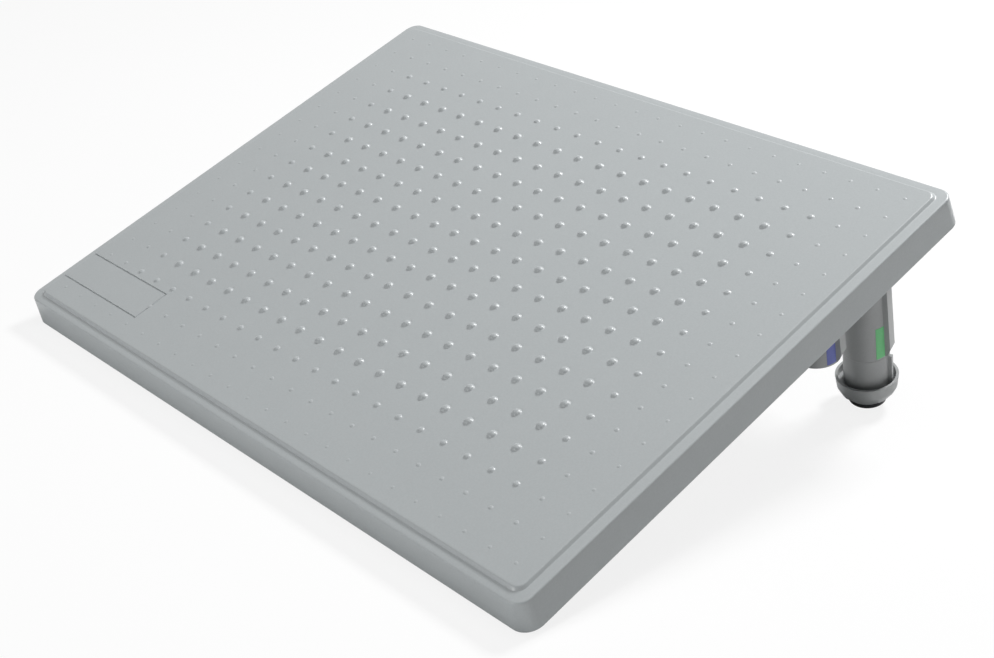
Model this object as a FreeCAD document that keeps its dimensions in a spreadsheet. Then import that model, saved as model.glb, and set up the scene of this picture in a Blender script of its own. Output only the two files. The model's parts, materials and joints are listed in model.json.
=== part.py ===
import FreeCAD, Part
import math
import os
import Sketcher
from FreeCAD import Placement, Rotation, Vector

# Desk footrest: a moulded board on two rear feet that plug onto colour-marked posts.
# World frame: +X to the right, +Y to the rear, +Z up, origin under the middle of the box.
# Board frame: X as the world, Y from the front edge, Z from the skirt's lower edge.
# Leg frame: Z up a post's own axis from the floor, leaning with the posts.

doc = FreeCAD.newDocument("DeskFootrest")
sheet = doc.addObject("Spreadsheet::Sheet", "Sizes")

# What counts as level or equal when shapes are compared
tolerance = 1e-4

# Millimetres and degrees
boardSizes = {
    "boardWidth": 457.4,
    "boardDepth": 346.4,
    "cornerRadius": 10.5,
    "skirtHeight": 18.6,
    "skirtFlare": 2.3,
    "wallThickness": 2.6,
    "deckThickness": 2.3,
    "creaseRadius": 0.8,
    "ledgeWidth": 5.4,
    "plateauRise": 1.6,
    "plateauCorner": 5.5,
    "stepSlope": 1.2,
    "tiltAngle": 19.73,
    "edgeClearance": 0.5,
    "ribThickness": 1.8,
    "ribDepth": 6,
    "longRibSpacing": 86,
    "longRibCount": 5,
    "crossRibSpacing": 98,
    "crossRibCount": 3,
    "firstCrossRib": 27,
}
bumpSizes = {
    "bumpPitch": 18,
    "bumpMargin": 12,
    "bumpDiameter": 5.4,
    "bumpHeight": 1.5,
    "bumpCrown": 0.5,
    "stripDepth": 0.8,
    "thirdRingScale": 0.78,
    "secondRingScale": 0.52,
    "edgeRingScale": 0.42,
    "frameLineWidth": 0.8,
    "frameLineDepth": 0.45,
    "frameLength": 84.5,
    "frameFront": 26.9,
    "frameRear": 51,
}
legSizes = {
    "legInset": 31.9,
    "legSetback": 23.6642,
    "legLean": 8,
    "postRadius": 13.2,
    "postDraft": 1.5,
    "postSpacing": 43.4,
    "footHeight": 36.9,
    "seatGap": 0.15,
    "blueStepUp": 22.2,
    "socketRadius": 9.5,
    "socketDepth": 22,
    "finAngle": 18,
    "finWidth": 8.3,
    "finRadius": 15.4,
    "finTopRadius": 12.8,
    "finLipHeight": 0.6,
    "finCornerHeight": 4.8,
    "flangeWidth": 37,
    "flangeLength": 35,
    "flangeCorner": 4,
    "flangeThickness": 3,
    "screwOffsetAcross": 14,
    "screwOffsetAlong": 13,
    "markHeight": 20.3,
    "markBase": 1,
    "markAngle": 14.5,
    "markArc": 27,
    "markDepth": 0.6,
    "markClearance": 0.1,
}
footSizes = {
    "spigotClearance": 0.2,
    "spigotLength": 19.5,
    "stemBore": 6.8,
    "stemFloor": 12,
    "bossRadius": 12,
    "bossTopHeight": 8.4,
    "stemTipRadius": 10.7,
    "keyRadius": 15.2,
    "keyWidth": 2.4,
    "keyGap": 1.2,
    "collarRadius": 18,
    "collarWaistRadius": 17.2,
    "collarWaistHeight": 13,
    "collarFootRadius": 14.9,
    "collarHeight": 20,
    "collarFloorHeight": 16,
    "collarWall": 1.5,
    "collarInsideFlare": 0.4,
    "collarBore": 11.2,
    "collarClearance": 0.3,
    "collarPlay": 0.2,
    "collarFlats": 8,
    "flatDepth": 0.5,
}
tipSizes = {
    "tipHeight": 3,
    "tipRadius": 10.5,
    "tipShoulder": 2.4,
    "tipTreadRadius": 6.5,
    "tipDrop": 0.8,
    "plugRadius": 6.8,
    "plugHeight": 3,
    "plugClearance": 0.2,
}
screwSizes = {
    "screwRadius": 1.6,
    "screwHeadRadius": 3.2,
    "screwHeadHeight": 2.1,
    "deckBite": 1.8,
    "threadClearance": 0.05,
    "holeClearance": 0.3,
    "tipScrewBite": 5.5,
    "headRecessClearance": 0.5,
}
gripSizes = {
    "frontGripInset": 43.7,
    "frontGripLength": 40,
    "frontGripFront": 4.2,
    "frontGripDepth": 11,
    "frontGripSeat": 2,
    "gripPegWidth": 6,
    "gripPegLength": 5,
    "gripPegSpacing": 22,
    "gripBossMargin": 1.5,
}


class Size:
    # A size as expression text for the document and as the number that it comes to.
    def __init__(self, text, number):
        self.text = text
        self.number = number

    def join(self, other, sign, number):
        return Size("(%s %s %s)" % (self.text, sign, other.text), number)

    def __add__(self, other):
        other = asSize(other)
        return self.join(other, "+", self.number + other.number)

    def __radd__(self, other):
        return asSize(other) + self

    def __sub__(self, other):
        other = asSize(other)
        return self.join(other, "-", self.number - other.number)

    def __rsub__(self, other):
        return asSize(other) - self

    def __mul__(self, other):
        other = asSize(other)
        return self.join(other, "*", self.number * other.number)

    def __rmul__(self, other):
        return asSize(other) * self

    def __truediv__(self, other):
        other = asSize(other)
        return self.join(other, "/", self.number / other.number)

    def __neg__(self):
        return self * -1


def asSize(value):
    if isinstance(value, Size):
        return value
    return Size("(%s)" % value, float(value))


def sine(angle):
    return Size("sin(%s)" % angle.text, math.sin(math.radians(angle.number)))


def cosine(angle):
    return Size("cos(%s)" % angle.text, math.cos(math.radians(angle.number)))


def slopeAngle(run, rise):
    ratio = run / rise
    return Size("(atan(%s) / (1 deg))" % ratio.text, math.degrees(math.atan(ratio.number)))


def fillSheet(groups):
    named = {}
    row = 1
    for group in groups:
        for name, number in group.items():
            sheet.set("A%d" % row, name)
            sheet.set("B%d" % row, str(number))
            sheet.setAlias("B%d" % row, name)
            named[name] = Size("Sizes.%s" % name, float(number))
            row += 1
    return named


class Dimensions:
    def __init__(self, named):
        self.__dict__.update(named)


groups = [boardSizes, bumpSizes, legSizes, footSizes, tipSizes, screwSizes, gripSizes]
d = Dimensions(fillSheet(groups))
doc.recompute()

# What follows from the driving sizes
deckUnder = d.skirtHeight - d.deckThickness
plateauTop = d.skirtHeight + d.plateauRise
topWidth = d.boardWidth - 2 * d.skirtFlare
topDepth = d.boardDepth - 2 * d.skirtFlare
plateauWidth = topWidth - 2 * d.ledgeWidth
plateauDepth = topDepth - 2 * d.ledgeWidth
creaseForward = d.skirtHeight * sine(d.tiltAngle) - d.skirtFlare * cosine(d.tiltAngle)
frontEdge = -(d.boardDepth * cosine(d.tiltAngle) - creaseForward) / 2
legTilt = d.tiltAngle - d.legLean
legAcross = d.boardWidth / 2 - d.legInset
legReach = d.boardDepth * cosine(d.tiltAngle) - d.legSetback
gripAcross = d.boardWidth / 2 - d.frontGripInset
spigotRadius = d.socketRadius - d.spigotClearance
tipSeat = d.tipHeight
headSeat = d.tipHeight + d.plugHeight - d.screwHeadHeight


def axisReach(setForward):
    # From the front edge back to the point where a post's axis line meets the leg frame's floor
    return legReach - setForward * cosine(legTilt)


def axisDrop(setForward):
    return -(setForward * sine(legTilt))


def deckHeight(setForward):
    # Along a post's axis, from its frame's floor up to the deck's underside
    along = axisReach(setForward) * sine(d.tiltAngle)
    across = (axisDrop(setForward) - d.edgeClearance) * cosine(d.tiltAngle)
    return (deckUnder + along - across) / cosine(d.legLean)


def deckPlace(setForward):
    # Where a post's axis meets the deck, measured up the board from its front edge
    along = axisReach(setForward) * cosine(d.tiltAngle)
    across = (axisDrop(setForward) - d.edgeClearance) * sine(d.tiltAngle)
    return along + across + deckHeight(setForward) * sine(d.legLean)


def bind(item, path, size):
    if isinstance(size, Size):
        item.setExpression(path, size.text)
    else:
        item.setExpression(path, str(size))


def newBody(label):
    body = doc.addObject("PartDesign::Body", label.title().replace("_", ""))
    body.Label = label
    return body


def placeOnBoard(item):
    item.Placement = Placement(Vector(), Rotation(Vector(1, 0, 0), d.tiltAngle.number))
    bind(item, "Placement.Base.y", frontEdge)
    bind(item, "Placement.Base.z", d.edgeClearance)
    bind(item, "Placement.Rotation.Angle", d.tiltAngle)


def placeOnLeg(item, side, setForward):
    item.Placement = Placement(Vector(), Rotation(Vector(1, 0, 0), legTilt.number))
    bind(item, "Placement.Base.x", side * legAcross)
    bind(item, "Placement.Base.y", frontEdge + axisReach(setForward))
    bind(item, "Placement.Base.z", axisDrop(setForward))
    bind(item, "Placement.Rotation.Angle", legTilt)


def newSketch(body, name, role, turn=None, height=None):
    # turn is an axis in the sketch's own frame and the angle about it
    plane = [item for item in body.Origin.OriginFeatures if item.Role == role][0]
    sketch = body.newObject("Sketcher::SketchObject", name)
    sketch.AttachmentSupport = (plane, [""])
    sketch.MapMode = "FlatFace"
    if turn:
        axis, angle = turn
        sketch.AttachmentOffset = Placement(Vector(), Rotation(axis, asSize(angle).number))
        bind(sketch, "AttachmentOffset.Rotation.Angle", angle)
    if height is not None:
        bind(sketch, "AttachmentOffset.Base.z", height)
    return sketch


def constrain(sketch, size, *terms):
    index = sketch.addConstraint(Sketcher.Constraint(*terms, size.number))
    bind(sketch, "Constraints[%d]" % index, size)


def fixPoint(sketch, shape, corner, across, up):
    across, up = asSize(across), asSize(up)
    if abs(across.number) < tolerance:
        sketch.addConstraint(Sketcher.Constraint("PointOnObject", shape, corner, -2))
    else:
        constrain(sketch, across, "DistanceX", -1, 1, shape, corner)
    if abs(up.number) < tolerance:
        sketch.addConstraint(Sketcher.Constraint("PointOnObject", shape, corner, -1))
    else:
        constrain(sketch, up, "DistanceY", -1, 1, shape, corner)


def flat(across, up):
    return Vector(asSize(across).number, asSize(up).number, 0)


def drawOutline(sketch, points):
    # A closed outline of straight lines, each corner set by its own two sizes
    count = len(points)
    first = sketch.GeometryCount
    for index in range(count):
        here, there = points[index], points[(index + 1) % count]
        sketch.addGeometry(Part.LineSegment(flat(*here), flat(*there)))
    for index in range(count):
        following = first + (index + 1) % count
        sketch.addConstraint(Sketcher.Constraint("Coincident", first + index, 2, following, 1))
    for index, (across, up) in enumerate(points):
        fixPoint(sketch, first + index, 1, across, up)


def drawBox(sketch, left, right, near, far):
    drawOutline(sketch, [(left, near), (right, near), (right, far), (left, far)])


def drawRoundedBox(sketch, width, depth, radius, middle):
    # Four lines and four quarter arcs, centred across and at middle along
    half, reach, bend = width.number / 2, depth.number / 2, radius.number
    centre = asSize(middle).number
    low, high = centre - reach, centre + reach
    first = sketch.GeometryCount
    sides = [
        ((bend - half, low), (half - bend, low)),
        ((half, low + bend), (half, high - bend)),
        ((half - bend, high), (bend - half, high)),
        ((-half, high - bend), (-half, low + bend)),
    ]
    for start, end in sides:
        sketch.addGeometry(Part.LineSegment(Vector(*start, 0), Vector(*end, 0)))
    centres = [
        (half - bend, low + bend),
        (half - bend, high - bend),
        (bend - half, high - bend),
        (bend - half, low + bend),
    ]
    for index, spot in enumerate(centres):
        circle = Part.Circle(Vector(*spot, 0), Vector(0, 0, 1), bend)
        start = (index - 1) * math.pi / 2
        sketch.addGeometry(Part.ArcOfCircle(circle, start, start + math.pi / 2))
    for index in range(4):
        arc = first + 4 + index
        sketch.addConstraint(Sketcher.Constraint("Tangent", first + index, 2, arc, 1))
        sketch.addConstraint(Sketcher.Constraint("Tangent", arc, 2, first + (index + 1) % 4, 1))
    for index in (0, 2):
        sketch.addConstraint(Sketcher.Constraint("Horizontal", first + index))
        sketch.addConstraint(Sketcher.Constraint("Vertical", first + index + 1))
    for index in (5, 6, 7):
        sketch.addConstraint(Sketcher.Constraint("Equal", first + 4, first + index))
    constrain(sketch, radius, "Radius", first + 4)
    constrain(sketch, width, "DistanceX", first + 3, 1, first + 1, 1)
    constrain(sketch, depth, "DistanceY", first, 1, first + 2, 1)
    constrain(sketch, width / 2, "DistanceX", -1, 1, first + 1, 1)
    nearEdge = asSize(middle) - depth / 2
    constrain(sketch, nearEdge, "DistanceY", -1, 1, first, 1)


def drawCircle(sketch, radius, across=0, up=0):
    circle = Part.Circle(flat(across, up), Vector(0, 0, 1), radius.number)
    shape = sketch.addGeometry(circle)
    fixPoint(sketch, shape, 3, across, up)
    constrain(sketch, radius, "Radius", shape)


def pad(body, name, sketch, length, taper=None, middle=False, down=False):
    feature = body.newObject("PartDesign::Pad", name)
    feature.Profile = sketch
    feature.Midplane = middle
    feature.Reversed = down
    bind(feature, "Length", length)
    if taper is not None:
        bind(feature, "TaperAngle", taper)
    return feature


def pocket(body, name, sketch, depth, taper=None, up=True, middle=False):
    feature = body.newObject("PartDesign::Pocket", name)
    feature.Profile = sketch
    feature.Reversed = up
    feature.Midplane = middle
    bind(feature, "Length", depth)
    if taper is not None:
        bind(feature, "TaperAngle", taper)
    return feature


def turnProfile(body, kind, name, sketch, angle=None):
    feature = body.newObject("PartDesign::" + kind, name)
    feature.Profile = sketch
    feature.ReferenceAxis = (sketch, ["V_Axis"])
    feature.Angle = 360
    if angle is not None:
        feature.Midplane = True
        bind(feature, "Angle", angle)
    return feature


def drawPeg(sketch, across, clearance):
    # A grip's square peg, or its hole where a clearance is given
    reach = (d.gripPegWidth + clearance) / 2
    along = d.frontGripFront + d.frontGripDepth / 2
    drawBox(sketch, across - reach, across + reach, along - reach, along + reach)


def linePattern(body, name, feature, role, count, spacing):
    pattern = body.newObject("PartDesign::LinearPattern", name)
    axis = [item for item in body.Origin.OriginFeatures if item.Role == role][0]
    pattern.Originals = [feature]
    pattern.Direction = (axis, [""])
    pattern.Mode = "Spacing"
    bind(pattern, "Offset", spacing)
    bind(pattern, "Occurrences", count)
    body.Tip = pattern
    return pattern


def screwSpots(side):
    # The flange's two screws stand on the diagonal that the fin leaves free
    first = (side * d.screwOffsetAcross, -d.screwOffsetAlong)
    second = (-side * d.screwOffsetAcross, d.screwOffsetAlong)
    return [first, second]


posts = [("green", asSize(0), d.footHeight), ("blue", d.postSpacing, d.footHeight + d.blueStepUp)]
sides = [("left", -1), ("right", 1)]


def makeBoardBody():
    # The board as one moulding: flared skirt, ledge, raised plateau, ribs and bosses
    body = doc.addObject("PartDesign::Body", "BoardBody")
    flare = slopeAngle(d.skirtFlare, d.skirtHeight)

    skirtOutline = newSketch(body, "SkirtOutline", "XY_Plane")
    drawRoundedBox(skirtOutline, d.boardWidth, d.boardDepth, d.cornerRadius, d.boardDepth / 2)
    pad(body, "Skirt", skirtOutline, d.skirtHeight, -flare)

    plateauOutline = newSketch(body, "PlateauOutline", "XY_Plane", height=d.skirtHeight)
    drawRoundedBox(
        plateauOutline, plateauWidth, plateauDepth, d.plateauCorner, d.boardDepth / 2)
    pad(body, "Plateau", plateauOutline, d.plateauRise, -slopeAngle(d.stepSlope, d.plateauRise))

    insideOutline = newSketch(body, "InsideOutline", "XY_Plane")
    drawRoundedBox(
        insideOutline, d.boardWidth - 2 * d.wallThickness, d.boardDepth - 2 * d.wallThickness,
        d.cornerRadius - d.wallThickness, d.boardDepth / 2)
    pocket(body, "Inside", insideOutline, deckUnder, -flare)
    doc.recompute()
    return body


def creaseEdges(body):
    # The outer edge where the skirt turns into the ledge, outside the plateau's own edge
    names = []
    middle = d.boardDepth.number / 2
    halfLedge = d.ledgeWidth.number / 2
    for index, edge in enumerate(body.Shape.Edges):
        box = edge.BoundBox
        atTop = max(abs(z - d.skirtHeight.number) for z in (box.ZMin, box.ZMax)) < tolerance
        across = max(abs(box.XMin), abs(box.XMax)) - plateauWidth.number / 2
        along = max(abs(box.YMin - middle), abs(box.YMax - middle)) - plateauDepth.number / 2
        if atTop and max(across, along) > halfLedge:
            names.append("Edge%d" % (index + 1))
    return names


def finishBoardBody(body):
    moulding = body.Tip
    edges = creaseEdges(body)
    crease = body.newObject("PartDesign::Fillet", "Crease")
    crease.Base = (moulding, edges)
    bind(crease, "Radius", d.creaseRadius)

    ribHeight = deckUnder - d.ribDepth
    nearWall = d.wallThickness / 2
    longSpan = (d.longRibCount - 1) * d.longRibSpacing
    longLine = newSketch(body, "LongRibLine", "XY_Plane", height=ribHeight)
    drawBox(
        longLine, -(longSpan + d.ribThickness) / 2, -(longSpan - d.ribThickness) / 2,
        nearWall + d.skirtFlare, d.boardDepth - nearWall - d.skirtFlare)
    longRib = pad(body, "LongRib", longLine, d.ribDepth)
    linePattern(body, "LongRibs", longRib, "X_Axis", d.longRibCount, d.longRibSpacing)

    halfInside = d.boardWidth / 2 - nearWall - d.skirtFlare
    crossLine = newSketch(body, "CrossRibLine", "XY_Plane", height=ribHeight)
    drawBox(
        crossLine, -halfInside, halfInside, d.firstCrossRib, d.firstCrossRib + d.ribThickness)
    crossRib = pad(body, "CrossRib", crossLine, d.ribDepth)
    linePattern(body, "CrossRibs", crossRib, "Y_Axis", d.crossRibCount, d.crossRibSpacing)

    bossLine = newSketch(body, "GripBossLine", "XY_Plane", height=d.frontGripSeat)
    pegLine = newSketch(body, "PegHoleLine", "XY_Plane", height=d.frontGripSeat)
    halfBoss = d.frontGripLength / 2 + d.gripBossMargin
    bossRear = d.frontGripFront + d.frontGripDepth + d.gripBossMargin
    for name, side in sides:
        middle = side * gripAcross
        drawBox(bossLine, middle - halfBoss, middle + halfBoss, d.wallThickness, bossRear)
        for end in (-1, 1):
            drawPeg(pegLine, middle + end * d.gripPegSpacing / 2, d.holeClearance)
    pad(body, "GripBosses", bossLine, deckUnder - d.frontGripSeat)
    pocket(body, "PegHoles", pegLine, d.gripPegLength + d.holeClearance)

    pilotLine = newSketch(body, "PilotHoleLine", "XY_Plane", height=deckUnder)
    for name, side in sides:
        for colour, setForward, endHeight in posts:
            for across, along in screwSpots(side):
                spot = (side * legAcross + across, deckPlace(setForward) + along)
                drawCircle(pilotLine, d.screwRadius + d.threadClearance, *spot)
    pocket(body, "PilotHoles", pilotLine, d.deckBite + d.holeClearance)

    frameLine = newSketch(body, "FrameLine", "XY_Plane", height=plateauTop)
    left = -plateauWidth / 2
    right = left + d.frameLength
    innerRight = right - d.frameLineWidth
    innerFront = d.frameFront + d.frameLineWidth
    innerRear = d.frameRear - d.frameLineWidth
    drawOutline(frameLine, [
        (left, d.frameFront), (right, d.frameFront), (right, d.frameRear), (left, d.frameRear),
        (left, innerRear), (innerRight, innerRear), (innerRight, innerFront), (left, innerFront)])
    pocket(body, "FrameGroove", frameLine, d.frameLineDepth, up=False)
    doc.recompute()


def bumpCount(length):
    # As many bumps at the pitch as the margins leave room for
    return 1 + math.floor((length - 2 * d.bumpMargin).number / d.bumpPitch.number)


def bumpScale(column, row):
    # Bumps shrink ring by ring towards the plateau's edges
    columns, rows = bumpCount(plateauWidth), bumpCount(plateauDepth)
    ring = min(column, columns - 1 - column, row, rows - 1 - row)
    scales = [d.edgeRingScale.number, d.secondRingScale.number, d.thirdRingScale.number]
    if ring < len(scales):
        return scales[ring]
    return 1


def studOutline(across, along, height, radius, corners):
    points = []
    for step in range(corners):
        angle = 2 * math.pi * step / corners
        points.append(Vector(
            across + radius * math.cos(angle), along + radius * math.sin(angle), height))
    return points


def makeStud(across, along, scale):
    # A six-sided stud stands in for a full domed bump, and a four-sided point for a faint one
    level = plateauTop.number
    radius = d.bumpDiameter.number / 2 * scale
    top = level + d.bumpHeight.number * scale * scale
    corners = 6 if scale == 1 else 4
    low = studOutline(across, along, level, radius, corners)
    faces = [Part.Face(Part.makePolygon(low + [low[0]]))]
    if scale == 1:
        high = studOutline(across, along, top, radius * d.bumpCrown.number, corners)
        faces.append(Part.Face(Part.makePolygon(high + [high[0]])))
    else:
        high = [Vector(across, along, top)] * corners
    for step in range(corners):
        after = (step + 1) % corners
        around = [low[step], low[after], high[after]]
        if high[step] != high[after]:
            around.append(high[step])
        faces.append(Part.Face(Part.makePolygon(around + [low[step]])))
    stud = Part.Solid(Part.Shell(faces))
    if stud.Volume < 0:
        stud.reverse()
    return stud


def makeColumn(column):
    # One column of bumps with the strip of the plateau that they stand on
    pitch = d.bumpPitch.number
    columns, rows = bumpCount(plateauWidth), bumpCount(plateauDepth)
    across = (column - (columns - 1) / 2) * pitch
    front = (d.boardDepth.number - rows * pitch) / 2
    start = front
    if across - pitch / 2 < (d.frameLength - plateauWidth / 2).number:
        start = d.frameRear.number + d.frameLineWidth.number
    depth = d.stripDepth.number
    corner = Vector(across - pitch / 2, start, plateauTop.number - depth)
    strip = Part.makeBox(pitch, front + rows * pitch - start, depth, corner)
    bumps = []
    loose = []
    for row in range(rows):
        along = front + (row + 0.5) * pitch
        if along > start:
            bumps.append(makeStud(across, along, bumpScale(column, row)))
        elif along < d.frameFront.number:
            loose.append(makeStud(across, along, bumpScale(column, row)))
    return strip, strip.fuse(bumps), loose


def makePlatform():
    # The plateau is cut out under the bumps' strips and filled again by them, as one solid
    body = makeBoardBody()
    finishBoardBody(body)
    strips = []
    filled = []
    for column in range(bumpCount(plateauWidth)):
        strip, studded, loose = makeColumn(column)
        strips.append(strip)
        filled.append(studded)
        filled.extend(loose)
    shell = doc.addObject("Part::Feature", "PlatformShell")
    shell.Label = "platform_shell"
    shell.Shape = body.Shape.cut(strips).fuse(filled)
    placeOnBoard(shell)
    return shell


def floorLevel(along):
    # The floor's height in the board frame, a distance up the board from the front edge
    return -(d.edgeClearance + along * sine(d.tiltAngle)) / cosine(d.tiltAngle)


def makeFrontGrip(name, side):
    # Rubber block pushed up into the boss by two pegs, its sole level with the floor
    body = newBody(name + "_front_grip")
    front, rear = d.frontGripFront, d.frontGripFront + d.frontGripDepth
    middle = side * gripAcross
    section = newSketch(body, "GripSection", "YZ_Plane", height=middle)
    drawOutline(section, [
        (front, d.frontGripSeat), (rear, d.frontGripSeat),
        (rear, floorLevel(rear)), (front, floorLevel(front))])
    pad(body, "GripBlock", section, d.frontGripLength, middle=True)
    pegLine = newSketch(body, "PegLine", "XY_Plane", height=d.frontGripSeat)
    for end in (-1, 1):
        drawPeg(pegLine, middle + end * d.gripPegSpacing / 2, asSize(0))
    pad(body, "Pegs", pegLine, d.gripPegLength)
    placeOnBoard(body)
    return body


def postSurface(height):
    # The drafted post's radius, a height above its end
    return d.postRadius - height * sine(d.postDraft) / cosine(d.postDraft)


def markTurn(side):
    return (Vector(0, 1, 0), 90 - side * (90 + d.markAngle))


def makePost(name, side, colour, setForward, endHeight):
    # Hollow post with its fin, its mark's recess and the flange that is screwed to the deck
    body = newBody("%s_%s_post" % (name, colour))
    topHeight = deckHeight(setForward)
    # The barrel runs past the deck's slant and is trimmed to it
    overshoot = d.finRadius
    deckTurn = (Vector(1, 0, 0), d.legLean)
    finTurn = (Vector(0, 1, 0), 90 - side * (90 - d.finAngle))

    barrelLine = newSketch(body, "BarrelLine", "XY_Plane", height=endHeight)
    drawCircle(barrelLine, d.postRadius)
    pad(body, "Barrel", barrelLine, topHeight + overshoot - endHeight, -d.postDraft)

    finLine = newSketch(body, "FinLine", "XZ_Plane", turn=finTurn)
    root = d.socketRadius + d.markDepth
    lip = endHeight + d.finLipHeight
    drawOutline(finLine, [
        (root, lip), (d.postRadius, lip), (d.finRadius, endHeight + d.finCornerHeight),
        (d.finTopRadius, topHeight), (d.finTopRadius, topHeight + overshoot / 2),
        (root, topHeight + overshoot / 2)])
    pad(body, "Fin", finLine, d.finWidth, middle=True)

    aboveDeck = newSketch(body, "AboveDeck", "XY_Plane", turn=deckTurn, height=topHeight)
    drawCircle(aboveDeck, 2 * d.finRadius)
    pocket(body, "DeckCut", aboveDeck, 3 * overshoot)

    flangeLine = newSketch(body, "FlangeLine", "XY_Plane", turn=deckTurn, height=topHeight)
    halfWidth, halfLength = d.flangeWidth / 2, d.flangeLength / 2
    shortWidth, shortLength = halfWidth - d.flangeCorner, halfLength - d.flangeCorner
    drawOutline(flangeLine, [
        (shortWidth, -halfLength), (halfWidth, -shortLength), (halfWidth, shortLength),
        (shortWidth, halfLength), (-shortWidth, halfLength), (-halfWidth, shortLength),
        (-halfWidth, -shortLength), (-shortWidth, -halfLength)])
    pad(body, "Flange", flangeLine, d.flangeThickness, down=True)

    holeLine = newSketch(body, "HoleLine", "XY_Plane", turn=deckTurn, height=topHeight)
    for across, along in screwSpots(side):
        drawCircle(holeLine, d.screwRadius + d.holeClearance, across, along)
    pocket(body, "ScrewHoles", holeLine, d.flangeThickness, up=False)

    socketLine = newSketch(body, "SocketLine", "XY_Plane", height=endHeight)
    drawCircle(socketLine, d.socketRadius)
    pocket(body, "Socket", socketLine, d.socketDepth)

    recessLine = newSketch(body, "RecessLine", "XZ_Plane", turn=markTurn(side))
    low, high = d.markBase, d.markBase + d.markHeight
    drawOutline(recessLine, [
        (postSurface(low) - d.markDepth, endHeight + low),
        (postSurface(low) + d.markDepth, endHeight + low),
        (postSurface(high) + d.markDepth, endHeight + high),
        (postSurface(high) - d.markDepth, endHeight + high)])
    turnProfile(body, "Groove", "Recess", recessLine, d.markArc)
    placeOnLeg(body, side, setForward)
    return body


def makeMark(name, side, colour, setForward, endHeight):
    # Coloured inlay let into the post's recess, beside the fin
    body = newBody("%s_%s_mark" % (name, colour))
    inlay = newSketch(body, "InlaySection", "XZ_Plane", turn=markTurn(side))
    low = d.markBase + d.markClearance
    high = d.markBase + d.markHeight - d.markClearance
    drawOutline(inlay, [
        (postSurface(low) - d.markDepth, endHeight + low),
        (postSurface(low) + d.markClearance, endHeight + low),
        (postSurface(high) + d.markClearance, endHeight + high),
        (postSurface(high) - d.markDepth, endHeight + high)])
    sideGap = slopeAngle(d.markClearance, d.postRadius)
    turnProfile(body, "Revolution", "Inlay", inlay, d.markArc - 2 * sideGap)
    placeOnLeg(body, side, setForward)
    return body


def screwProfile(underHead, shankEnd):
    # Cheese head and shank as corners from the axis out, the head lying against underHead
    headTop = underHead - d.screwHeadHeight
    return [
        (0, headTop), (d.screwHeadRadius, headTop), (d.screwHeadRadius, underHead),
        (d.screwRadius, underHead), (d.screwRadius, shankEnd), (0, shankEnd)]


def makePostScrews(name, side):
    # Four like screws, two through each post's flange into the deck
    body = doc.addObject("PartDesign::Body", name.title() + "PostScrew")
    section = newSketch(body, "ScrewSection", "XZ_Plane")
    drawOutline(section, screwProfile(-d.flangeThickness, d.deckBite))
    turnProfile(body, "Revolution", "Screw", section)
    doc.recompute()
    copies = []
    for colour, setForward, endHeight in posts:
        for across, along in screwSpots(side):
            copy = body.Shape.copy()
            spot = Vector(
                (side * legAcross + across).number, (deckPlace(setForward) + along).number,
                deckUnder.number)
            copy.translate(spot)
            copies.append(copy)
    screws = doc.addObject("Part::Feature", name.title() + "PostScrews")
    screws.Label = name + "_post_screws"
    screws.Shape = Part.makeCompound(copies)
    placeOnBoard(screws)
    return screws


def makeStem(name, side):
    # Foot stem: hollow spigot, sleeve with its key, groove for the collar, boss and tip seat
    body = newBody(name + "_foot_stem")
    sleeveTop = d.footHeight - d.seatGap
    spigotTop = d.footHeight + d.spigotLength
    grooveRadius = d.collarBore - d.collarClearance
    grooveTop = d.collarFloorHeight + d.collarPlay
    plugTop = tipSeat + d.plugHeight + d.plugClearance
    hole = d.screwRadius + d.threadClearance
    section = newSketch(body, "StemSection", "XZ_Plane")
    drawOutline(section, [
        (hole, plugTop), (d.plugRadius + d.plugClearance, plugTop),
        (d.plugRadius + d.plugClearance, tipSeat), (d.stemTipRadius, tipSeat),
        (d.bossRadius, d.bossTopHeight), (grooveRadius, d.bossTopHeight),
        (grooveRadius, grooveTop), (d.postRadius, grooveTop), (d.postRadius, sleeveTop),
        (spigotRadius, sleeveTop), (spigotRadius, spigotTop), (d.stemBore, spigotTop),
        (d.stemBore, d.stemFloor), (hole, d.stemFloor)])
    turnProfile(body, "Revolution", "Stem", section)

    keyTurn = (Vector(0, 1, 0), 90 - side * (90 - d.finAngle))
    keyLine = newSketch(body, "KeyLine", "XZ_Plane", turn=keyTurn)
    keyRoot = (d.postRadius + d.stemBore) / 2
    drawBox(keyLine, keyRoot, d.keyRadius, grooveTop + d.collarPlay, sleeveTop - d.keyGap)
    pad(body, "Key", keyLine, d.keyWidth, middle=True)
    placeOnLeg(body, side, asSize(0))
    return body


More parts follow.
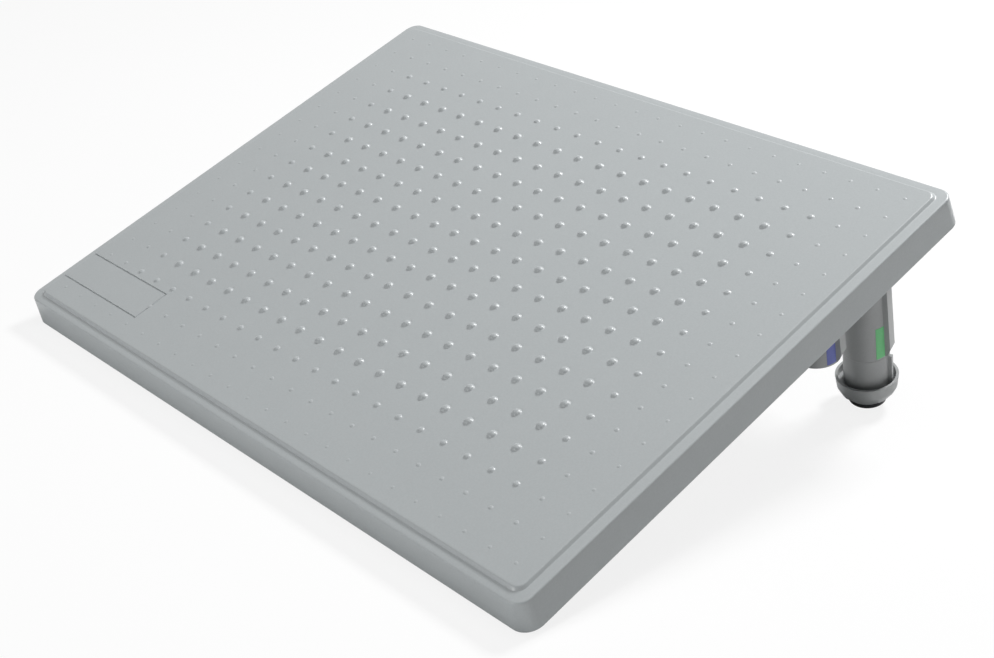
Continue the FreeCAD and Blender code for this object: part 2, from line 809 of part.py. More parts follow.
def makeCollar(name, side):
    # Cup that turns on the stem's groove, with flats for the fingers round its waist
    body = newBody(name + "_twist_collar")
    foot = d.bossTopHeight + d.collarPlay
    cupRadius = d.collarRadius - d.collarWall
    section = newSketch(body, "CollarSection", "XZ_Plane")
    drawOutline(section, [
        (d.collarBore, foot), (d.collarFootRadius, foot),
        (d.collarWaistRadius, d.collarWaistHeight), (d.collarRadius, d.collarHeight),
        (cupRadius, d.collarHeight), (cupRadius - d.collarInsideFlare, d.collarFloorHeight),
        (d.collarBore, d.collarFloorHeight)])
    turnProfile(body, "Revolution", "Cup", section)

    flatLine = newSketch(body, "FlatLine", "XZ_Plane")
    drawOutline(flatLine, [
        (d.collarFootRadius - d.flatDepth, foot), (d.collarRadius, foot),
        (d.collarRadius, d.collarWaistHeight),
        (d.collarWaistRadius - d.flatDepth, d.collarWaistHeight)])
    flatCut = pocket(body, "Flat", flatLine, d.collarRadius, middle=True)
    pattern = body.newObject("PartDesign::PolarPattern", "Flats")
    pattern.Originals = [flatCut]
    axis = [item for item in body.Origin.OriginFeatures if item.Role == "Z_Axis"][0]
    pattern.Axis = (axis, [""])
    pattern.Angle = 360
    bind(pattern, "Occurrences", d.collarFlats)
    body.Tip = pattern
    placeOnLeg(body, side, asSize(0))
    return body


def makeTip(name, side):
    # Rubber tip plugged up into the stem, trimmed level with the floor at the set tilt
    body = newBody(name + "_rubber_tip")
    hole = d.screwRadius + d.holeClearance
    recess = d.screwHeadRadius + d.headRecessClearance
    section = newSketch(body, "TipSection", "XZ_Plane")
    drawOutline(section, [
        (hole, headSeat), (recess, headSeat), (recess, -d.tipDrop),
        (d.tipTreadRadius, -d.tipDrop), (d.tipRadius, d.tipShoulder), (d.tipRadius, tipSeat), (d.plugRadius, tipSeat),
        (d.plugRadius, tipSeat + d.plugHeight), (hole, tipSeat + d.plugHeight)])
    turnProfile(body, "Revolution", "Tip", section)
    floorLine = newSketch(body, "FloorLine", "XY_Plane", turn=(Vector(-1, 0, 0), legTilt))
    drawCircle(floorLine, 2 * d.tipRadius)
    pocket(body, "FloorCut", floorLine, 2 * d.tipHeight, up=False)
    placeOnLeg(body, side, asSize(0))
    return body


def makeTipScrew(name, side):
    body = newBody(name + "_tip_screw")
    section = newSketch(body, "TipScrewSection", "XZ_Plane")
    drawOutline(section, screwProfile(headSeat, tipSeat + d.plugHeight + d.tipScrewBite))
    turnProfile(body, "Revolution", "TipScrew", section)
    placeOnLeg(body, side, asSize(0))
    return body


nodes = [makePlatform()]
for name, side in sides:
    nodes.append(makeFrontGrip(name, side))
    for colour, setForward, endHeight in posts:
        nodes.append(makePost(name, side, colour, setForward, endHeight))
        nodes.append(makeMark(name, side, colour, setForward, endHeight))
    nodes.append(makePostScrews(name, side))
    nodes.append(makeStem(name, side))
    nodes.append(makeCollar(name, side))
    nodes.append(makeTip(name, side))
    nodes.append(makeTipScrew(name, side))
doc.recompute()

for item in doc.Objects:
    if "Invalid" in item.State or "Error" in item.State:
        raise RuntimeError("%s did not build: %s" % (item.Name, item.State))
shapes = {node.Label: node.Shape for node in nodes}
for label, shape in shapes.items():
    if shape.isNull() or not shape.isValid():
        raise RuntimeError("%s has no valid shape" % label)

os.makedirs("parts", exist_ok=True)
for label, shape in shapes.items():
    shape.exportStep("parts/%s.step" % label)
    print("%-22s solids %d, volume %.1f" % (label, len(shape.Solids), shape.Volume))
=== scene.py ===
import json
import math

import bmesh
import bpy
from mathutils import Matrix, Vector


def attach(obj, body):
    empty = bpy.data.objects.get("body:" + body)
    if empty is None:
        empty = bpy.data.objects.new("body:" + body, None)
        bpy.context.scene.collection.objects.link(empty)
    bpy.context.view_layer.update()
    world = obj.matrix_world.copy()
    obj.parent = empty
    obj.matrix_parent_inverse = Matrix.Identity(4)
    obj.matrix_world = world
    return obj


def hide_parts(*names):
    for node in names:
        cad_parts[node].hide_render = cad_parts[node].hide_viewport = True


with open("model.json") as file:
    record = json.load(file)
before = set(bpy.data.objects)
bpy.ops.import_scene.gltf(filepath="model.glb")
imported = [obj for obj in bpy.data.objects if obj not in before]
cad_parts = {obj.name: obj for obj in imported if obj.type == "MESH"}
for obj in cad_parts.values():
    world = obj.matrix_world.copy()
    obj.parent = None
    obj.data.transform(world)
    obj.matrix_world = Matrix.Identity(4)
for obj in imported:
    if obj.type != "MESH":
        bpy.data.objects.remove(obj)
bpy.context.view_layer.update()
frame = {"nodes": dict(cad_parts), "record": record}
print("frame loaded,", len(frame["nodes"]), "nodes")

mm = 0.001

board = {
    "tilt": math.radians(19.73),
    "width": 457.4 * mm,
    "depth": 346.4 * mm,
    "lift": 0.5 * mm,
    "skirtHeight": 18.6 * mm,
    "skirtFlare": 2.3 * mm,
    "wall": 2.6 * mm,
    "deckUnder": 16.3 * mm,
    "ledgeEnd": 7.9 * mm,
    "ledgeFall": 0.45 * mm,
    "stepRun": 1.5 * mm,
    "plateauTop": 20.2 * mm,
    "cornerRadius": 10.5 * mm,
    "plateauCorner": 5.2 * mm,
    "edgeRound": 0.35 * mm,
    "creaseRound": 0.9 * mm,
    "footRound": 0.7 * mm,
    "brinkRound": 1.1 * mm,
    "holdWidth": 0.25 * mm,
    "flatRim": 8 * mm,
    "mergeGap": 0.002 * mm,
    "cornerSteps": 14,
    "roundSteps": 5,
    "sharpAngle": 24,
}

# The front edge's place follows from the origin under the middle of the box
forward = board["skirtHeight"] * math.sin(board["tilt"])
forward -= board["skirtFlare"] * math.cos(board["tilt"])
frontEdge = (forward - board["depth"] * math.cos(board["tilt"])) / 2
boardPlace = Matrix.Translation((0, frontEdge, board["lift"]))
boardPlace = boardPlace @ Matrix.Rotation(board["tilt"], 4, "X")


def addObject(name, data):
    made = bpy.data.objects.new(name, data)
    bpy.context.scene.collection.objects.link(made)
    return made


def newPiece(name, mesh, body, slot, place=boardPlace):
    mesh.transform(place)
    mesh.materials.clear()
    mesh.materials.append(materials[slot])
    piece = addObject(name, mesh)
    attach(piece, body)
    return piece


def meshFrom(shape, name, sharpAngle=32):
    bmesh.ops.recalc_face_normals(shape, faces=shape.faces)
    mesh = bpy.data.meshes.new(name)
    shape.to_mesh(mesh)
    shape.free()
    for polygon in mesh.polygons:
        polygon.use_smooth = True
    mesh.set_sharp_from_angle(angle=math.radians(sharpAngle))
    return mesh


def roundedSection(corners, steps):
    # Corners are (inset, height, radius), and each turns into an arc unless its radius is zero
    points = []
    for index, (inset, height, radius) in enumerate(corners):
        here = Vector((inset, height))
        if radius == 0:
            points.append(here)
            continue
        before = (Vector(corners[index - 1][:2]) - here).normalized()
        after = (Vector(corners[index + 1][:2]) - here).normalized()
        half = before.angle(after) / 2
        reach = radius / math.tan(half)
        start, end = here + before * reach, here + after * reach
        centre = here + (before + after).normalized() * (radius / math.sin(half))
        arm = start - centre
        sweep = arm.angle_signed(end - centre)
        for step in range(steps + 1):
            turn = -sweep * step / steps
            points.append(centre + Vector((
                arm.x * math.cos(turn) - arm.y * math.sin(turn),
                arm.x * math.sin(turn) + arm.y * math.cos(turn))))
    return points


def outlineRadius(inset):
    # The corner's radius shrinks with the inset, one for one as far as the crease
    crease = board["skirtFlare"]
    if inset <= crease:
        return board["cornerRadius"] - inset
    outer = board["cornerRadius"] - crease
    share = (inset - crease) / (board["ledgeEnd"] + board["stepRun"] - crease)
    return outer + (board["plateauCorner"] - outer) * share


def outlinePoints(inset, height):
    halfWidth, halfDepth = board["width"] / 2 - inset, board["depth"] / 2 - inset
    radius = outlineRadius(inset)
    points = []
    for corner in range(4):
        acrossSign = 1 if corner in (0, 3) else -1
        alongSign = 1 if corner in (0, 1) else -1
        centre = Vector((
            acrossSign * (halfWidth - radius),
            board["depth"] / 2 + alongSign * (halfDepth - radius)))
        for step in range(board["cornerSteps"] + 1):
            angle = math.pi / 2 * (corner + step / board["cornerSteps"])
            points.append(Vector((
                centre.x + radius * math.cos(angle), centre.y + radius * math.sin(angle), height)))
    return points


def makeBoardShell():
    # One closed moulding lofted round the outline, from the plateau over the skirt to the deck
    wall, hold = board["wall"], board["holdWidth"]
    flare, high = board["skirtFlare"], board["skirtHeight"]
    ledgeOut = high - board["ledgeFall"]
    insideTop = wall + flare * board["deckUnder"] / high
    brink = board["ledgeEnd"] + board["stepRun"]
    hard = [
        (brink + board["flatRim"], board["plateauTop"], 0),
        (brink, board["plateauTop"], board["brinkRound"]),
        (board["ledgeEnd"], high, board["footRound"]),
        (flare, ledgeOut, board["creaseRound"]),
        (0, 0, board["edgeRound"]),
        (wall, 0, board["edgeRound"]),
        (insideTop, board["deckUnder"], board["footRound"]),
        (insideTop + board["flatRim"], board["deckUnder"], 0),
    ]
    section = roundedSection(hard, board["roundSteps"])
    # Narrow faces beside each bend hold the shading of the flats flat
    held = [section[0]]
    for before, after in zip(section, section[1:]):
        gap = after - before
        if gap.length > 4 * hold:
            held.append(before + gap.normalized() * hold)
            held.append(after - gap.normalized() * hold)
        held.append(after)
    shape = bmesh.new()
    rings = [[shape.verts.new(p) for p in outlinePoints(q.x, q.y)] for q in held]
    for upper, lower in zip(rings, rings[1:]):
        count = len(upper)
        for index in range(count):
            after = (index + 1) % count
            shape.faces.new((upper[index], upper[after], lower[after], lower[index]))
    shape.faces.new(rings[0])
    shape.faces.new(list(reversed(rings[-1])))
    bmesh.ops.remove_doubles(shape, verts=shape.verts, dist=board["mergeGap"])
    return meshFrom(shape, "boardShell")


logoFrame = {
    "right": -135 * mm,
    "left": -222 * mm,
    "front": 26.9 * mm,
    "rear": 51 * mm,
    "lineWidth": 1.1 * mm,
    "floorWidth": 0.5 * mm,
    "depth": 0.5 * mm,
    "mouthShare": 1.4,
    "overcut": 0.3 * mm,
}


def makeFrameCutter():
    # A three-sided trough, wider at the top, that cuts the bare engraved frame
    lines = []
    for width, height in (
            (logoFrame["lineWidth"] * logoFrame["mouthShare"], board["plateauTop"] + logoFrame["overcut"]),
            (logoFrame["lineWidth"], board["plateauTop"]),
            (logoFrame["floorWidth"], board["plateauTop"] - logoFrame["depth"])):
        half = width / 2
        left, right = logoFrame["left"], logoFrame["right"]
        front, rear = logoFrame["front"], logoFrame["rear"]
        outer = [(left, front - half), (right + half, front - half),
                 (right + half, rear + half), (left, rear + half)]
        inner = [(left, front + half), (right - half, front + half),
                 (right - half, rear - half), (left, rear - half)]
        lines.append((outer, inner, height))
    shape = bmesh.new()
    rings = []
    for outer, inner, height in lines:
        ring = outer + list(reversed(inner))
        rings.append([shape.verts.new((x, y, height)) for x, y in ring])
    for upper, lower in zip(rings, rings[1:]):
        for index in range(8):
            after = (index + 1) % 8
            shape.faces.new((upper[index], upper[after], lower[after], lower[index]))
    for ring in (rings[0], rings[-1]):
        for index in range(3):
            shape.faces.new((ring[index], ring[index + 1], ring[6 - index], ring[7 - index]))
    return meshFrom(shape, "frameCutter")


def engraveFrame(mesh):
    plate = addObject("plate", mesh)
    cutter = addObject("frameCutter", makeFrameCutter())
    cut = plate.modifiers.new("frame", "BOOLEAN")
    cut.operation = "DIFFERENCE"
    cut.solver = "EXACT"
    cut.object = cutter
    view = bpy.context.evaluated_depsgraph_get()
    engraved = bpy.data.meshes.new_from_object(plate.evaluated_get(view))
    engraved.set_sharp_from_angle(angle=math.radians(board["sharpAngle"]))
    bpy.data.objects.remove(plate)
    bpy.data.objects.remove(cutter)
    return engraved


bumps = {
    "pitch": 18 * mm,
    "columns": 24,
    "rows": 18,
    "radius": 2.75 * mm,
    "height": 1.55 * mm,
    "edgeScale": 0.42,
    "secondScale": 0.52,
    "thirdScale": 0.78,
    "segments": 16,
    "sink": 0.03 * mm,
    "sharpAngle": 80,
}


def makeDome():
    # Dome with a small fillet at its foot, as (share of radius, share of height)
    outline = [
        (0, 1), (0.22, 0.965), (0.42, 0.865), (0.6, 0.7), (0.75, 0.49), (0.87, 0.27),
        (0.98, 0.1), (1.12, 0.025), (1.3, 0)]
    shape = bmesh.new()
    count = bumps["segments"]
    top = shape.verts.new((0, 0, bumps["height"]))
    rings = []
    for share, rise in outline[1:]:
        ring = []
        for index in range(count):
            angle = 2 * math.pi * index / count
            reach = share * bumps["radius"]
            ring.append(shape.verts.new((
                reach * math.cos(angle), reach * math.sin(angle), rise * bumps["height"])))
        rings.append(ring)
    for index in range(count):
        shape.faces.new((top, rings[0][index], rings[0][(index + 1) % count]))
    for inner, outer in zip(rings, rings[1:]):
        for index in range(count):
            after = (index + 1) % count
            shape.faces.new((inner[index], outer[index], outer[after], inner[after]))
    shape.faces.new(list(reversed(rings[-1])))
    return meshFrom(shape, "dome", bumps["sharpAngle"])


class Wire:
    # A node socket that takes part in Python sums, adding Math nodes as it goes
    def __init__(self, maker, socket):
        self.maker = maker
        self.socket = socket

    def combine(self, operation, first, second):
        return self.maker.maths(operation, first, second)

    def __add__(self, other):
        return self.combine("ADD", self, other)

    def __radd__(self, other):
        return self.combine("ADD", other, self)

    def __sub__(self, other):
        return self.combine("SUBTRACT", self, other)

    def __rsub__(self, other):
        return self.combine("SUBTRACT", other, self)

    def __mul__(self, other):
        return self.combine("MULTIPLY", self, other)

    def __rmul__(self, other):
        return self.combine("MULTIPLY", other, self)

    def __truediv__(self, other):
        return self.combine("DIVIDE", self, other)

    def __gt__(self, other):
        return self.combine("GREATER_THAN", self, other)

    def __lt__(self, other):
        return self.combine("LESS_THAN", self, other)


class Maker:
    # Adds nodes to one tree: a type, its settings, then values or wires for its sockets
    def __init__(self, tree):
        self.tree = tree

    def add(self, kind, settings=None, inputs=None, output=0):
        node = self.tree.nodes.new(kind)
        for name, value in (settings or {}).items():
            setattr(node, name, value)
        for key, value in (inputs or {}).items():
            self.plug(node.inputs[key], value)
        return Wire(self, node.outputs[output]) if node.outputs else node

    def plug(self, socket, value):
        if isinstance(value, Wire):
            self.tree.links.new(value.socket, socket)
        else:
            socket.default_value = value

    def maths(self, operation, first, second=0.0):
        return self.add("ShaderNodeMath", {"operation": operation}, {0: first, 1: second})


def treeInputs(tree, entries):
    named = {}
    for name, kind, value in entries:
        socket = tree.interface.new_socket(name=name, in_out="INPUT", socket_type=kind)
        if value is not None:
            socket.default_value = value
        named[name] = socket.identifier
    tree.interface.new_socket(name="Geometry", in_out="OUTPUT", socket_type="NodeSocketGeometry")
    return named


def runTree(tree, name, values):
    # Evaluates the tree on an empty mesh object and returns the plain mesh it makes
    holder = addObject(name, bpy.data.meshes.new(name))
    modifier = holder.modifiers.new("nodes", "NODES")
    modifier.node_group = tree
    for identifier, value in values.items():
        modifier[identifier] = value
    view = bpy.context.evaluated_depsgraph_get()
    made = bpy.data.meshes.new_from_object(holder.evaluated_get(view))
    bpy.data.objects.remove(holder)
    return made


def makeBumpField(material):
    # Grid of domes that shrink ring by ring towards the board's edges
    dome = addObject("domeShape", makeDome())
    tree = bpy.data.node_groups.new("bumpField", "GeometryNodeTree")
    sizes = treeInputs(tree, [
        ("Pitch", "NodeSocketFloat", bumps["pitch"]),
        ("Columns", "NodeSocketInt", bumps["columns"]),
        ("Rows", "NodeSocketInt", bumps["rows"]),
        ("Edge scale", "NodeSocketFloat", bumps["edgeScale"]),
        ("Second scale", "NodeSocketFloat", bumps["secondScale"]),
        ("Third scale", "NodeSocketFloat", bumps["thirdScale"]),
        ("Frame right", "NodeSocketFloat", logoFrame["right"]),
        ("Frame front", "NodeSocketFloat", logoFrame["front"] - board["depth"] / 2),
        ("Frame rear", "NodeSocketFloat", logoFrame["rear"] - board["depth"] / 2),
        ("Dome", "NodeSocketObject", None),
        ("Material", "NodeSocketMaterial", None),
    ])
    make = Maker(tree)
    entry = tree.nodes.new("NodeGroupInput")
    value = {name: Wire(make, entry.outputs[name]) for name in sizes}
    pitch = value["Pitch"]
    width, depth = pitch * (value["Columns"] - 1), pitch * (value["Rows"] - 1)
    grid = make.add("GeometryNodeMeshGrid", None, {
        "Size X": width, "Size Y": depth,
        "Vertices X": value["Columns"], "Vertices Y": value["Rows"]})
    spot = make.add("GeometryNodeInputPosition")
    across = make.add("ShaderNodeSeparateXYZ", None, {0: spot})
    along = Wire(make, across.socket.node.outputs[1])
    fromSide = (width / 2 - make.maths("ABSOLUTE", across)) / pitch
    fromEnd = (depth / 2 - make.maths("ABSOLUTE", along)) / pitch
    ring = make.maths("MINIMUM", fromSide, fromEnd)  # 0 on the outermost row
    scale = value["Edge scale"] + (ring > 0.5) * (value["Second scale"] - value["Edge scale"])
    scale = scale + (ring > 1.5) * (value["Third scale"] - value["Second scale"])
    scale = scale + (ring > 2.5) * (1 - value["Third scale"])
    inFrame = (across < value["Frame right"]) * (along > value["Frame front"])
    inFrame = inFrame * (along < value["Frame rear"])
    shape = make.add("GeometryNodeObjectInfo", None, {"Object": value["Dome"]}, "Geometry")
    points = make.add("GeometryNodeMeshToPoints", None, {
        "Mesh": grid, "Selection": 1 - inFrame, "Position": spot})
    size = make.add("ShaderNodeCombineXYZ", None, {0: scale, 1: scale, 2: scale * scale})
    placed = make.add("GeometryNodeInstanceOnPoints", None, {
        "Points": points, "Instance": shape, "Scale": size})
    solid = make.add("GeometryNodeRealizeInstances", None, {"Geometry": placed})
    painted = make.add("GeometryNodeSetMaterial", None, {
        "Geometry": solid, "Material": value["Material"]})
    leave = tree.nodes.new("NodeGroupOutput")
    tree.links.new(painted.socket, leave.inputs["Geometry"])
    mesh = runTree(tree, "bumpField", {sizes["Dome"]: dome, sizes["Material"]: material})
    bpy.data.objects.remove(dome)
    mesh.transform(Matrix.Translation((
        0, board["depth"] / 2, board["plateauTop"] - bumps["sink"])))
    return mesh


ribs = {
    "thickness": 1.8 * mm,
    "tip": 1.3 * mm,
    "depth": 6 * mm,
    "longSpacing": 86 * mm,
    "longCount": 5,
    "crossSpacing": 98 * mm,
    "crossCount": 3,
    "firstCross": 27 * mm,
    "wallGap": 3.7 * mm,
    "sink": 0.05 * mm,
}


def addRib(shape, start, end, level):
    # A drafted bar hanging from the deck, thinner at its free edge
    run = (end - start).normalized()
    side = Vector((-run.y, run.x, 0))
    low, high = level - ribs["depth"], level
    corners = []
    for height, width in ((low, ribs["tip"]), (high, ribs["thickness"])):
        for spot in (start, end):
            for sign in (-1, 1):
                point = spot + side * sign * width / 2
                corners.append(shape.verts.new((point.x, point.y, height)))
    faces = (0, 1, 3, 2), (4, 5, 7, 6), (0, 1, 5, 4), (2, 3, 7, 6), (0, 2, 6, 4), (1, 3, 7, 5)
    for face in faces:
        shape.faces.new([corners[index] for index in face])


def makeRibs():
    shape = bmesh.new()
    level = board["deckUnder"] + ribs["sink"]
    halfWidth = board["width"] / 2 - ribs["wallGap"]
    rear = board["depth"] - ribs["wallGap"]
    for index in range(ribs["longCount"]):
        across = (index - (ribs["longCount"] - 1) / 2) * ribs["longSpacing"]
        addRib(shape, Vector((across, ribs["wallGap"], 0)), Vector((across, rear, 0)), level)
    for index in range(ribs["crossCount"]):
        along = ribs["firstCross"] + ribs["thickness"] / 2 + index * ribs["crossSpacing"]
        addRib(shape, Vector((-halfWidth, along, 0)), Vector((halfWidth, along, 0)), level)
    return meshFrom(shape, "deckRibs")


gripBoss = {
    "centre": 185 * mm,
    "halfLength": 21.5 * mm,
    "front": 2.6 * mm,
    "rear": 16.7 * mm,
    "seat": 2 * mm,
    "sink": 0.05 * mm,
}


def makeGripBosses():
    # Blocks that hang from the deck and take the pegs of the front grips
    front, rear, low = gripBoss["front"], gripBoss["rear"], gripBoss["seat"]
    high = board["deckUnder"] + gripBoss["sink"]
    size = Vector((2 * gripBoss["halfLength"], rear - front, high - low))
    shape = bmesh.new()
    for side in (-1, 1):
        middle = Vector((side * gripBoss["centre"], (rear + front) / 2, (high + low) / 2))
        for corner in bmesh.ops.create_cube(shape, size=1)["verts"]:
            corner.co = corner.co * size + middle
    return meshFrom(shape, "gripBosses")


tipBand = {
    "tipTop": 6 * mm,  # plug's top above the foot of the leg's axis
    "low": 2.5 * mm,
    "high": 5.6 * mm,
    "lowRadius": 10.75 * mm,
    "highRadius": 11.5 * mm,
    "skin": 0.35 * mm,
    "edgeRound": 0.2 * mm,
    "segments": 64,
}


def makeTipBand(side):
    # Rubber skin that comes up over the foot of the stem, on the axis that the collar turns on
    joints = {joint["name"]: joint for joint in frame["record"]["behaviour"]["joints"]}
    twist = joints[side + "_collar_twist"]
    axis = Vector(twist["axis"]).normalized()
    spot = Vector(twist["pos_m"])
    tip = frame["nodes"][side + "_rubber_tip"].data
    tipTop = max(corner.co.dot(axis) for corner in tip.vertices)
    foot = spot + axis * (tipTop - spot.dot(axis) - tipBand["tipTop"])
    low, high, edge = tipBand["low"], tipBand["high"], tipBand["edgeRound"]
    outLow, outHigh, skin = tipBand["lowRadius"], tipBand["highRadius"], tipBand["skin"]
    section = [
        (outLow - skin, low), (outLow - edge, low), (outLow, low + edge),
        (outHigh, high - edge), (outHigh - edge, high), (outHigh - skin, high)]
    shape = bmesh.new()
    rings = []
    for radius, height in section:
        ring = []
        for index in range(tipBand["segments"]):
            angle = 2 * math.pi * index / tipBand["segments"]
            ring.append(shape.verts.new((radius * math.cos(angle), radius * math.sin(angle), height)))
        rings.append(ring)
    for ring, nextRing in zip(rings, rings[1:] + rings[:1]):
        for index in range(tipBand["segments"]):
            after = (index + 1) % tipBand["segments"]
            shape.faces.new((ring[index], ring[after], nextRing[after], nextRing[index]))
    place = Matrix.Translation(foot) @ axis.to_track_quat("Z", "Y").to_matrix().to_4x4()
    return meshFrom(shape, side + "TipBand"), place


def newMaterial(name):
    material = bpy.data.materials.new(name)
    material.use_nodes = True
    tree = material.node_tree
    tree.nodes.clear()
    return material, Maker(tree)


def finishMaterial(make, shader):
    leave = make.tree.nodes.new("ShaderNodeOutputMaterial")
    make.tree.links.new(shader.socket, leave.inputs["Surface"])


def blendColour(make, share, first, second):
    # Sockets 6, 7 and 2 of a Mix node are its two colours and the blend
    return make.add("ShaderNodeMix", {"data_type": "RGBA"}, {0: share, 6: first, 7: second}, 2)


def addNoise(make, place, scale, noise):
    detail, roughness = noise
    return make.add("ShaderNodeTexNoise", None, {
        "Vector": place, "Scale": scale, "Detail": detail, "Roughness": roughness})


def mouldedPlastic(name, look):
    # Spark-eroded grain as bump, fine flecks in the colour, and a faint mottle in colour and gloss
    material, make = newMaterial(name)
    place = make.add("ShaderNodeTexCoord", None, None, "Object")
    grain = addNoise(make, place, look["grainScale"], look["grainNoise"])
    mottle = addNoise(make, place, look["mottleScale"], look["mottleNoise"])
    speckle = addNoise(make, place, look["speckleScale"], look["speckleNoise"])
    fleck = make.add("ShaderNodeMapRange", None, {
        "Value": speckle, "From Min": look["fleckStart"], "From Max": look["fleckEnd"],
        "To Min": 0.0, "To Max": 1.0})
    base, dark = look["colour"], look["darkColour"]
    colour = blendColour(make, fleck * look["fleck"] + mottle * look["mottle"], base, dark)
    rough = look["roughness"] + (mottle - 0.5) * look["roughSpread"]
    bump = make.add("ShaderNodeBump", None, {
        "Strength": look["bump"], "Distance": look["bumpDepth"], "Height": grain})
    shader = make.add("ShaderNodeBsdfPrincipled", None, {
        "Base Color": colour, "Roughness": rough, "Normal": bump, "IOR": look["ior"]})
    finishMaterial(make, shader)
    return material


boardLook = {
    "colour": (0.405, 0.43, 0.437, 1),
    "darkColour": (0.33, 0.352, 0.36, 1),
    "grainScale": 1500.0,
    "grainNoise": (3.0, 0.6),  # detail and roughness of each noise
    "mottleScale": 35.0,
    "mottleNoise": (4.0, 0.55),
    "speckleScale": 900.0,
    "speckleNoise": (2.0, 0.7),
    "fleckStart": 0.38,
    "fleckEnd": 0.62,
    "fleck": 0.22,
    "mottle": 0.25,
    "roughness": 0.36,
    "roughSpread": 0.12,
    "bump": 0.35,
    "bumpDepth": 0.06 * mm,
    "ior": 1.5,
}
legLook = dict(boardLook, **{
    "colour": (0.34, 0.35, 0.352, 1),
    "darkColour": (0.285, 0.294, 0.296, 1),
    "grainScale": 2200.0,
    "roughness": 0.42,
    "bump": 0.2,
})
greenLook = dict(boardLook, **{
    "colour": (0.15, 0.56, 0.22, 1),
    "darkColour": (0.12, 0.46, 0.18, 1),
    "roughness": 0.45,
    "bump": 0.12,
})
blueLook = dict(boardLook, **{
    "colour": (0.115, 0.14, 0.44, 1),
    "darkColour": (0.085, 0.11, 0.34, 1),
    "roughness": 0.45,
    "bump": 0.12,
})
rubberLook = dict(boardLook, **{
    "colour": (0.03, 0.031, 0.033, 1),
    "darkColour": (0.018, 0.018, 0.02, 1),
    "grainScale": 1800.0,
    "roughness": 0.72,
    "bump": 0.4,
})


screwLook = {
    "colour": (0.62, 0.63, 0.62, 1),
    "darkColour": (0.48, 0.5, 0.52, 1),
    "cloudScale": 450.0,
    "cloudNoise": (5.0, 0.6),
    "roughness": 0.25,
    "roughSpread": 0.25,
    "bump": 0.15,
    "bumpDepth": 0.02 * mm,
}


def zincSteel(name, look):
    # Bright zinc plating, clouded and a little dulled
    material, make = newMaterial(name)
    place = make.add("ShaderNodeTexCoord", None, None, "Object")
    cloud = addNoise(make, place, look["cloudScale"], look["cloudNoise"])
    colour = blendColour(make, cloud, look["colour"], look["darkColour"])
    rough = look["roughness"] + cloud * look["roughSpread"]
    bump = make.add("ShaderNodeBump", None, {
        "Strength": look["bump"], "Distance": look["bumpDepth"], "Height": cloud})
    shader = make.add("ShaderNodeBsdfPrincipled", None, {
        "Base Color": colour, "Metallic": 1.0, "Roughness": rough, "Normal": bump})
    finishMaterial(make, shader)
    return material


materials = {
    "board_plastic": mouldedPlastic("boardPlastic", boardLook),
    "leg_plastic": mouldedPlastic("legPlastic", legLook),
    "green_mark": mouldedPlastic("greenInlay", greenLook),
    "blue_mark": mouldedPlastic("blueInlay", blueLook),
    "rubber": mouldedPlastic("dullRubber", rubberLook),
    "steel": zincSteel("zincSteel", screwLook),
}
print("materials made,", len(materials))

boardShell = newPiece("boardShell", engraveFrame(makeBoardShell()), "board", "board_plastic")
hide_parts("platform_shell")
newPiece("domedBumps", makeBumpField(materials["board_plastic"]), "board", "board_plastic")
newPiece("deckRibs", makeRibs(), "board", "board_plastic")
newPiece("gripBosses", makeGripBosses(), "board", "board_plastic")
print("board made")

for side in ("left", "right"):
    bandMesh, bandPlace = makeTipBand(side)
    newPiece(side + "TipBand", bandMesh, side + "_foot", "rubber", bandPlace)
print("feet finished")

slotOf = {entry["node"]: entry["material_slot"] for entry in frame["record"]["subparts"]}
for name, node in frame["nodes"].items():
    for slot in node.material_slots:
        slot.material = materials[slotOf[name]]
print("frame nodes dressed")

studio = {
    "cameraPlace": (0.6653, -0.5822, 0.458),
    "cameraLens": 59.23,
    "cameraPitch": math.radians(63.75),
    "cameraTurn": math.radians(47.4),
    "sensorWidth": 36,
    "clipStart": 0.01,
    "lampAim": (0, 0, 0.05),
    "floorSize": 12.0,
    "floorColour": (0.86, 0.86, 0.86, 1),
    "floorGlow": 0.85,
    "worldLight": 0.11,
}
lamps = {
    "rearKey": {"place": (0.1, 1.2, 1.45), "size": 0.4, "power": 36},
    "topSoft": {"place": (0.22, -0.06, 0.9), "size": 0.5, "power": 1.9},
    "frontFill": {"place": (-0.2, -1.8, 0.3), "size": 0.5, "power": 11.5},
    "rightRim": {"place": (2.0, 0.5, 0.9), "size": 0.7, "power": 2},
}


def makeCamera():
    camera = addObject("camera", bpy.data.cameras.new("camera"))
    camera.location = studio["cameraPlace"]
    camera.rotation_euler = (studio["cameraPitch"], 0, studio["cameraTurn"])
    camera.data.sensor_width = studio["sensorWidth"]
    camera.data.lens = studio["cameraLens"]
    camera.data.clip_start = studio["clipStart"]
    bpy.context.scene.camera = camera


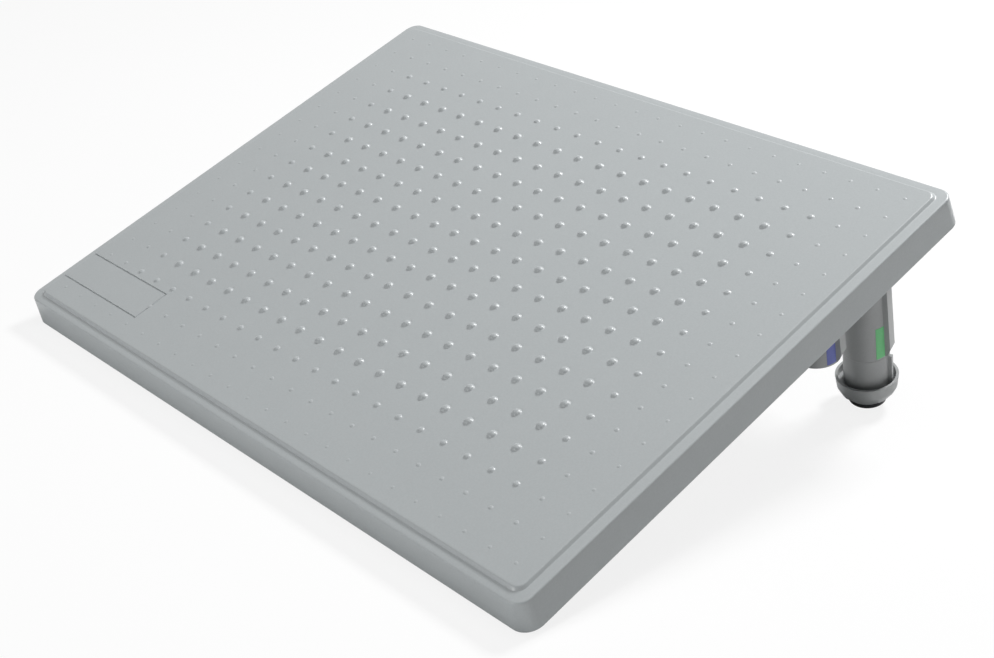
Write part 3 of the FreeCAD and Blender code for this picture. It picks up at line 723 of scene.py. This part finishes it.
def makeLamp(name, place, size, power):
    lamp = addObject(name, bpy.data.lights.new(name, "AREA"))
    lamp.data.size = size
    lamp.data.energy = power
    lamp.location = place
    aim = Vector(studio["lampAim"]) - Vector(place)
    lamp.rotation_euler = aim.to_track_quat("-Z", "Y").to_euler()


def seenDirectly(make):
    # One where the camera, a glossy surface or glass looks at it, so that it shows as white
    path = make.add("ShaderNodeLightPath")
    outputs = path.socket.node.outputs
    seen = Wire(make, outputs["Is Camera Ray"])
    seen = make.maths("MAXIMUM", seen, Wire(make, outputs["Is Glossy Ray"]))
    return make.maths("MAXIMUM", seen, Wire(make, outputs["Is Transmission Ray"]))


def makeFloor():
    # Mostly white to the camera, and enough of a plain floor to keep the shadow
    material, make = newMaterial("paleFloor")
    diffuse = make.add("ShaderNodeBsdfDiffuse", None, {"Color": studio["floorColour"]})
    glow = make.add("ShaderNodeEmission", None, {"Color": (1, 1, 1, 1), "Strength": 1.0})
    path = make.add("ShaderNodeLightPath")
    seen = Wire(make, path.socket.node.outputs["Is Camera Ray"])
    share = seen * studio["floorGlow"]
    shader = make.add("ShaderNodeMixShader", None, {0: share, 1: diffuse, 2: glow})
    finishMaterial(make, shader)
    half = studio["floorSize"] / 2
    mesh = bpy.data.meshes.new("floor")
    corners = [(-half, -half, 0), (half, -half, 0), (half, half, 0), (-half, half, 0)]
    mesh.from_pydata(corners, [], [(0, 1, 2, 3)])
    mesh.materials.append(material)
    addObject("floor", mesh)


def makeWorld():
    world = bpy.data.worlds.new("studio")
    bpy.context.scene.world = world
    world.use_nodes = True
    world.node_tree.nodes.clear()
    make = Maker(world.node_tree)
    seen = seenDirectly(make)
    strength = studio["worldLight"] + seen * (1 - studio["worldLight"])
    sky = make.add("ShaderNodeBackground", None, {"Color": (1, 1, 1, 1), "Strength": strength})
    leave = world.node_tree.nodes.new("ShaderNodeOutputWorld")
    world.node_tree.links.new(sky.socket, leave.inputs["Surface"])


bpy.context.scene.view_settings.view_transform = "Standard"
makeCamera()
for name, lamp in lamps.items():
    makeLamp(name, lamp["place"], lamp["size"], lamp["power"])
makeFloor()
makeWorld()
print("studio set")
